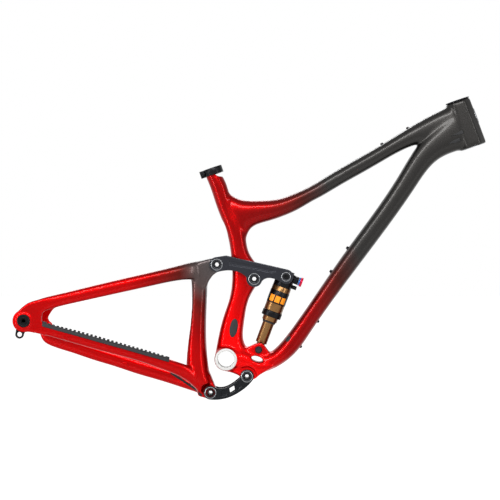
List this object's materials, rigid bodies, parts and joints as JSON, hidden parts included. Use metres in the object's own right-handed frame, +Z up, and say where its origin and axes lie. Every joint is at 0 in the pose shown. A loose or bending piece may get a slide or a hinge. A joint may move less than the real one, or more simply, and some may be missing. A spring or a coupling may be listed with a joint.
{
  "type": "bicycle frame",
  "caption": "Full-suspension mountain bike frame with curved tubes, linked rear triangle, two rocker links and an air shock inside the front triangle.",
  "frame": {"origin": "centre of the bottom bracket bore, on its axis and midway along it", "axes": "+X forward, +Y to the rider's left, +Z up; the drive side is -Y"},
  "size_m": [1.0023, 0.1745, 0.6451],
  "materials": {
    "band": "black with orange bars",
    "bearing": "satin",
    "black_metal": "black anodised",
    "blue": "blue anodised",
    "bronze": "bronze anodised",
    "front_triangle": "gloss carbon, red to charcoal fade",
    "lower_link": "black anodised",
    "plastic": "matte",
    "rear_triangle": "gloss carbon, red",
    "red_knob": "red anodised",
    "rubber": "matte",
    "silver": "satin",
    "upper_link": "slate carbon"
  },
  "bodies": {
    "front_frame": {"front_triangle": "front_triangle", "bottom_bracket_sleeve": "silver", "rocker_axle": "black_metal", "lower_link_axle": "black_metal", "headset_seats": "bearing", "head_cover": "plastic", "seat_clamp_collar": "black_metal", "seat_clamp_bolt": "black_metal", "shock_mount_bolt": "black_metal"},
    "upper_link": {"upper_link": "upper_link", "upper_link_bearings": "bearing"},
    "lower_link": {"lower_link": "lower_link", "lower_link_bearings": "bearing"},
    "rear_triangle": {"rear_triangle": "rear_triangle", "rocker_rear_axles": "black_metal", "lower_rear_axle": "black_metal", "rear_thru_axle": "black_metal", "derailleur_hanger": "black_metal", "hanger_nut": "black_metal", "chainstay_guard": "rubber"},
    "shock_body": {"air_can": "bronze", "air_can_band": "band", "lower_can_ring": "black_metal", "seal_collar": "bronze", "shaft_wiper": "rubber", "shock_head": "black_metal", "trunnion_bolts": "black_metal", "air_valve_cap": "black_metal"},
    "shock_shaft": {"shock_shaft": "bronze", "shock_lower_eye": "black_metal", "shock_eye_bushing": "silver"},
    "compression_lever": {"compression_lever": "blue"},
    "rebound_knob": {"rebound_knob": "red_knob"}
  },
  "joints": [
    {"name": "upper_link_pivot", "type": "hinge", "parent": "front_frame", "child": "upper_link", "pos_m": [0.06, 0, 0.1707], "axis": [0, 1, 0], "range_deg": [0, 31]},
    {"name": "lower_link_pivot", "type": "hinge", "parent": "front_frame", "child": "lower_link", "pos_m": [0.0445, 0, -0.0359], "axis": [0, 1, 0], "range_deg": [0, 29.03]},
    {"name": "rear_upper_pivot", "type": "hinge", "parent": "upper_link", "child": "rear_triangle", "pos_m": [-0.0194, 0, 0.2012], "axis": [0, 1, 0], "range_deg": [-23.95, 0]},
    {"name": "shock_top_pivot", "type": "hinge", "parent": "upper_link", "child": "shock_body", "pos_m": [0.1273, 0, 0.1754], "axis": [0, 1, 0], "range_deg": [-28.13, 0]},
    {"name": "shock_stroke", "type": "slide", "parent": "shock_body", "child": "shock_shaft", "axis": [0.3508, 0, 0.9365], "range_m": [0, 0.0353]},
    {"name": "compression_lever_turn", "type": "hinge", "parent": "shock_body", "child": "compression_lever", "pos_m": [0.1273, 0, 0.1754], "axis": [0.9365, 0, -0.3508], "range_deg": [0, 55]},
    {"name": "rebound_knob_turn", "type": "hinge", "parent": "shock_body", "child": "rebound_knob", "pos_m": [0.1273, 0, 0.1754], "axis": [0.9365, 0, -0.3508], "range_deg": [0, 300]}
  ],
  "couplings": [
    {"joint": "lower_link_pivot", "follows": "upper_link_pivot", "ratio": 0.93},
    {"joint": "rear_upper_pivot", "follows": "upper_link_pivot", "ratio": -0.766},
    {"joint": "shock_top_pivot", "follows": "upper_link_pivot", "ratio": -0.901},
    {"joint": "shock_stroke", "follows": "upper_link_pivot", "m_per_rad": 0.065}
  ]
}
